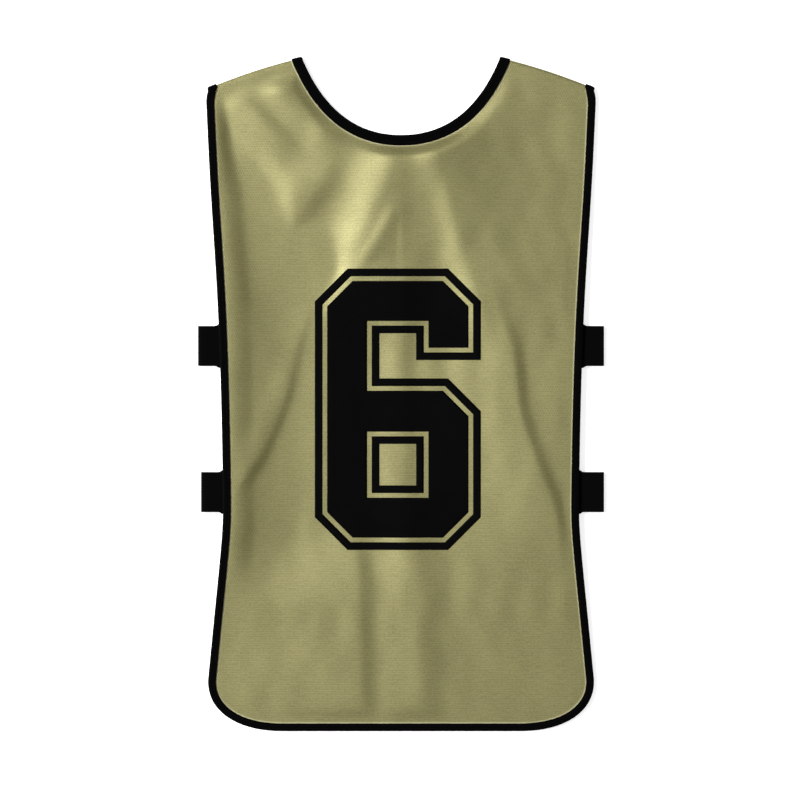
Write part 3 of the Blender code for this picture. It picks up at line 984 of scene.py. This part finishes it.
def tape_point(turn, across, up):
    """A point of a tape, in its place over the floor."""
    one = turn.station
    flat = inside(one, across + 0.6 * pucker(turn.along * 1.3))
    if turn.angle in (0.0, pi):
        raised = float(lift(one.edge.y)) if turn.angle == 0.0 else 0.0
        side = 1 if turn.angle == 0.0 else -1
        return placed(flat, MIDDLE + side * (ROLL + up) + raised)
    place, height = rolled(flat, copysign(1, one.edge.x), turn.angle, up)
    return placed(place, height)


def tape(name, width, run, stands_for):
    """One folded tape: a ring of stations with the profile at each."""
    profile = tape_profile(width)
    developed = lengths([Vector(step) for step in profile])
    ring, around = tape_ring(run)
    mesh, where = grid(len(ring), len(profile) - 1, "wear")
    wear = mesh.verts.layers.float["wear"]
    unfold(mesh, where, [turn.along for turn in ring] + [around], developed)
    for point, (i, j) in where.items():
        turn = ring[i % len(ring)]
        across, up = profile[j]
        loose = min(max(across - 1.0, 0.0), 1.0) * pucker(turn.along)
        point.co = tape_point(turn, across, up + copysign(loose, up))
        # Its gathers don't dip under the floor
        point.co.z = max(point.co.z, TAPE_WALL / 2 * MM)
        point[wear] = exp(-((across / 1.4) ** 2))
    bmesh.ops.remove_doubles(mesh, verts=mesh.verts, dist=0.001 * MM)
    bmesh.ops.recalc_face_normals(mesh, faces=mesh.faces)
    piece = finished(mesh, name, TAPE_FINISH, TAPE_WALL, [stands_for])
    print(f"{name}: {around:.0f} mm round, {developed[-1]:.1f} mm wide unfolded")
    return piece, (developed[-1] * MM, around * MM)


EDGE_RUN = tape_run(OUTER)
NECK_RUN = tape_run(NECK, backwards=True)
edge_tape, edge_size = tape("edge_tape", EDGE_TAPE_WIDTH, EDGE_RUN, "edge_binding")
neck_tape, neck_size = tape("neck_tape", NECK_TAPE_WIDTH, NECK_RUN, "neck_binding")

# %% [markdown]
# ## Stitches
#
# A tape is sewn down by a line of lockstitches near its inner edge. They are small, so each is
# a stretched ball of a few faces, and all of a tape's stitches are one mesh.

# %% Stitch lines
STITCH_PITCH = 3.0
STITCH_LENGTH = 2.3
STITCH_THICK = 0.42
STITCH_SEAT = 1.14 + TAPE_WALL / 2


def one_stitch():
    """A single stitch along X, to be copied to its places."""
    mesh = bmesh.new()
    bmesh.ops.create_uvsphere(mesh, u_segments=6, v_segments=4, radius=0.5 * MM)
    bmesh.ops.scale(mesh, verts=mesh.verts, vec=(STITCH_LENGTH, STITCH_THICK, STITCH_THICK))
    data = bpy.data.meshes.new("one_stitch")
    mesh.to_mesh(data)
    mesh.free()
    return data


ONE_STITCH = one_stitch()


def stitches(name, width, run):
    """The stitches of one tape, on its front and on its back."""
    mesh = bmesh.new()
    ring, _ = tape_ring(run)
    next_mark = 0.0
    for turn, after in zip(ring, ring[1:]):
        if turn.along < next_mark:
            continue
        next_mark += STITCH_PITCH
        start = tape_point(turn, width - STITCH_IN, STITCH_SEAT)
        way = tape_point(after, width - STITCH_IN, STITCH_SEAT) - start
        if way.length < 0.1 * MM:
            continue
        stitch = ONE_STITCH.copy()
        stitch.transform(Matrix.Translation(start) @ way.to_track_quat("X", "Z").to_matrix().to_4x4())
        mesh.from_mesh(stitch)
        bpy.data.meshes.remove(stitch)
    return finished(mesh, name, THREAD_FINISH)


edge_stitches = stitches("edge_stitches", EDGE_TAPE_WIDTH, EDGE_RUN)
neck_stitches = stitches("neck_stitches", NECK_TAPE_WIDTH, NECK_RUN)

# %% [markdown]
# ## The elastics
#
# Four short elastics are folded in half, with both ends sewn between the tapes. Their path is
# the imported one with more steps, and the ribs are real relief, because they show at the fold.

# %% Folded elastics
ELASTIC_THICK = 1.1
ELASTIC_RIB_RISE = 0.06
ELASTIC_FLARE = 2.2
FLARE_RUN = 4.0
RIB_COLUMNS = 100


def elastic_path(piece):
    """From the front edge out, round the fold and back to the back edge: out and up."""
    edge = side_half_width(piece.middle_height)
    low = 2 * TAPE_HALF + GAP + ELASTIC_WALL / 2
    high = low + ELASTIC_WALL + GAP
    inner, leave = edge - EDGE_TAPE_WIDTH + 0.5, edge + 1.5
    fold = piece.reach - ELASTIC_WALL / 2 - ELASTIC_LOOP
    middle = ELASTIC_LOOP_HEIGHT
    run = [(inner, high), (edge - 4, high), (edge - 1, high)]
    for share in spaced(0, 1, 12):
        rise = (middle + ELASTIC_LOOP - high) * float(smoothstep(share))
        run.append((leave + (fold - leave) * share, high + rise))
    for angle in spaced(pi / 2, -pi / 2, 13)[1:]:
        reach = fold + ELASTIC_LOOP * cos(angle)
        run.append((reach, middle + ELASTIC_LOOP * sin(angle)))
    for share in spaced(0, 1, 12)[1:]:
        rise = (low - middle + ELASTIC_LOOP) * float(smoothstep(share))
        run.append((fold + (leave - fold) * share, middle - ELASTIC_LOOP + rise))
    run += [(edge - 1, low), (edge - 4, low), (inner, low)]
    return [Vector(step) for step in run], edge


def elastic(name, piece, stands_for):
    """One elastic, folded between the front edge and the back edge."""
    run, edge = elastic_path(piece)
    along = lengths(run)
    mesh, where = grid(len(run) - 1, RIB_COLUMNS, "wear")
    wear = mesh.verts.layers.float["wear"]
    unfold(mesh, where, along, [j / RIB_COLUMNS * ELASTIC_WIDTH for j in range(RIB_COLUMNS + 1)])
    for point, (i, j) in where.items():
        before, after = run[max(i - 1, 0)], run[min(i + 1, len(run) - 1)]
        way = (after - before).normalized()
        across = (j / RIB_COLUMNS - 0.5) * ELASTIC_WIDTH
        rib = ELASTIC_RIB_RISE * sin(tau * across / ELASTIC_RIB)
        out, height = run[i] + Vector((-way.y, way.x)) * rib
        flare = ELASTIC_FLARE * (1 - float(smoothstep((out - edge) / FLARE_RUN)))
        wide = across * (1 + flare * 2 / ELASTIC_WIDTH)
        point.co = placed((piece.side * out, piece.middle_height + wide), height)
        point[wear] = exp(-(((piece.reach - out) / 2.5) ** 2))
    bmesh.ops.recalc_face_normals(mesh, faces=mesh.faces)
    made = finished(mesh, name, ELASTIC_FINISH, ELASTIC_THICK, [stands_for])


for solid, piece in ELASTICS.items():
    elastic(solid.replace("strap", "elastic"), piece, solid)

# %% [markdown]
# ## The player number
#
# The number is a screen print: a thin film of ink that lies in the cloth's surface. Its corners
# are points in millimetres from its own lower left corner. The open outline round it is the same
# shape grown by two distances. The film is filled flat, sliced into small cells so that it can
# bend, and then laid on the front cloth's own heights.

# %% The number's outline
NUMBER_CORNER = (-73.9, 193.4)
NUMBER_WIDE = 141.3
NUMBER_HIGH = 256.6
STEM = 40.0
CHAMFER = 25.5
BOWL_TOP = 146.9
BOWL_BAR = 40.9
ARM_BOTTOM = 189.8
OUTLINE_NEAR = 4.6
OUTLINE_FAR = 12.3
SLICE = 3.0
FILM = 0.12
FILM_GAP = 0.1

wide, high = NUMBER_WIDE, NUMBER_HIGH
FIGURE = [
    (CHAMFER, 0), (wide - CHAMFER, 0), (wide, CHAMFER),
    (wide, BOWL_TOP - CHAMFER), (wide - CHAMFER, BOWL_TOP), (STEM, BOWL_TOP),
    (STEM, high - STEM), (wide - STEM, high - STEM), (wide - STEM, ARM_BOTTOM), (wide, ARM_BOTTOM),
    (wide, high - CHAMFER), (wide - CHAMFER, high), (CHAMFER, high), (0, high - CHAMFER),
    (0, CHAMFER),
]
BOWL_INSIDE = BOWL_TOP - BOWL_BAR
COUNTER = [(STEM, STEM), (STEM, BOWL_INSIDE), (wide - STEM, BOWL_INSIDE), (wide - STEM, STEM)]


def grown(corners, distance):
    """The outline moved away from the ink by a distance, with sharp corners."""
    made = []
    for before, here, after in zip(corners[-1:] + corners[:-1], corners, corners[1:] + corners[:1]):
        here = Vector(here)
        first = (here - Vector(before)).normalized()
        second = (Vector(after) - here).normalized()
        first, second = Vector((first.y, -first.x)), Vector((second.y, -second.x))
        middle = (first + second).normalized()
        made.append(tuple(here + middle * distance / middle.dot(first)))
    return made


def film(name, rings):
    """A printed shape: pairs of outlines with ink between them, laid on the front cloth."""
    mesh = bmesh.new()
    for pair in rings:
        edges = []
        for outline in pair:
            corners = [mesh.verts.new((x, y, 0.0)) for x, y in outline]
            edges += [mesh.edges.new(ends) for ends in zip(corners, corners[1:] + corners[:1])]
        bmesh.ops.triangle_fill(mesh, use_beauty=True, edges=edges, normal=(0, 0, 1))
    flat = radians(1)
    bmesh.ops.dissolve_limit(mesh, angle_limit=flat, verts=mesh.verts, edges=mesh.edges)
    for axis, most in ((0, NUMBER_WIDE), (1, NUMBER_HIGH)):
        way = Vector((0.0, 0.0, 0.0))
        way[axis] = 1.0
        for k in range(round((most + 2 * OUTLINE_FAR) / SLICE)):
            whole = [*mesh.verts, *mesh.edges, *mesh.faces]
            place = way * (k * SLICE - OUTLINE_FAR + SLICE / 2)
            bmesh.ops.bisect_plane(mesh, geom=whole, plane_co=place, plane_no=way)
    shift = Vector(NUMBER_CORNER)
    places = np.array([tuple(point.co.xy + shift) for point in mesh.verts])
    seat = CLOTH_WALL / 2 + FILM_GAP + FILM / 2
    for point, place, height in zip(mesh.verts, places, front_heights(places)):
        point.co = placed(place, height + seat)
    bmesh.ops.recalc_face_normals(mesh, faces=mesh.faces)
    return finished(mesh, name, INK_FINISH, FILM)


def screen_print(name):
    """Matt black ink that sinks a little into the knit."""
    look = Finish(name, Specular_IOR_Level=0.02)
    x, y = look.split(look.place())
    courses = (y * (tau / COURSE_PITCH)).wave()
    wales = (x * (tau / WALE_PITCH)).wave()
    speck = look.noise(look.place(), 1.6, 3.0, 0.6)
    cloud = look.noise(look.place(), 30.0)
    tone = courses * wales * 0.3 + speck * 0.35 + cloud * 0.2
    look.feed("Base Color", look.mixed(tone.within(0.2, 1.0), INK, WORN_INK))
    look.feed("Roughness", 0.72 + speck * 0.12 - cloud * 0.08)
    look.bump(courses * wales * 0.6 + speck * 0.4, 0.08)
    return look.material


INK_FINISH = screen_print("black_screen_print")
number_fill = film("number_fill", [[FIGURE, COUNTER]])
round_figure = [grown(FIGURE, OUTLINE_FAR), grown(FIGURE, OUTLINE_NEAR)]
round_counter = [grown(COUNTER, OUTLINE_NEAR), grown(COUNTER, OUTLINE_FAR)]
number_outline = film("number_outline", [round_figure, round_counter])

# %% [markdown]
# ## Floor, light and camera
#
# The bib is seen from straight above, as in the photograph. A wide soft lamp stands far off on
# the left, so each fold has a bright flank and a dark one. The floor is white paper that is lit a
# little by itself, as a light table is, which keeps the ground clean and the shadows faint.

# %% Stage
CAMERA_PLACE = (-0.001, -0.00615, 4.447)
LENS = 200.0
KEY_PLACE = (-6.1, 1.75, 7.0)
KEY_SIZE = 4.2
KEY_POWER = 1620.0
FILL = 0.24
GLOW = 0.75
PAPER = (0.86, 0.86, 0.86, 1)
PAPER_BRIGHT = (0.9, 0.9, 0.9, 1)
WHITE = (1, 1, 1, 1)
stage = bpy.context.scene

floor_mesh = bmesh.new()
bmesh.ops.create_grid(floor_mesh, x_segments=1, y_segments=1, size=4.0)
floor_data = bpy.data.meshes.new("floor")
floor_mesh.to_mesh(floor_data)
floor_mesh.free()
floor = added("floor", floor_data)
paper = Finish("pale_paper", Roughness=0.9, Emission_Color=WHITE, Emission_Strength=GLOW)
mottle = paper.noise(paper.place(), 160.0)
paper.feed("Base Color", paper.mixed(mottle, PAPER, PAPER_BRIGHT))
floor_data.materials.append(paper.material)

key_data = bpy.data.lights.new("window", "AREA")
key_data.shape = "DISK"
key_data.size = KEY_SIZE
key_data.energy = KEY_POWER
key = added("window", key_data)
key.location = KEY_PLACE
key.rotation_euler = (-Vector(KEY_PLACE)).to_track_quat("-Z", "Y").to_euler()

sky = bpy.data.worlds.new("studio")
sky.use_nodes = True
background = sky.node_tree.nodes["Background"].inputs
background["Color"].default_value = WHITE
background["Strength"].default_value = FILL
stage.world = sky
stage.view_settings.view_transform = "Standard"

camera_data = bpy.data.cameras.new("camera")
camera_data.lens = LENS
camera = added("camera", camera_data)
camera.location = CAMERA_PLACE
stage.camera = camera
print(f"the lamp is {Vector(KEY_PLACE).length:.1f} m away, the camera {CAMERA_PLACE[2]:.1f} m up")
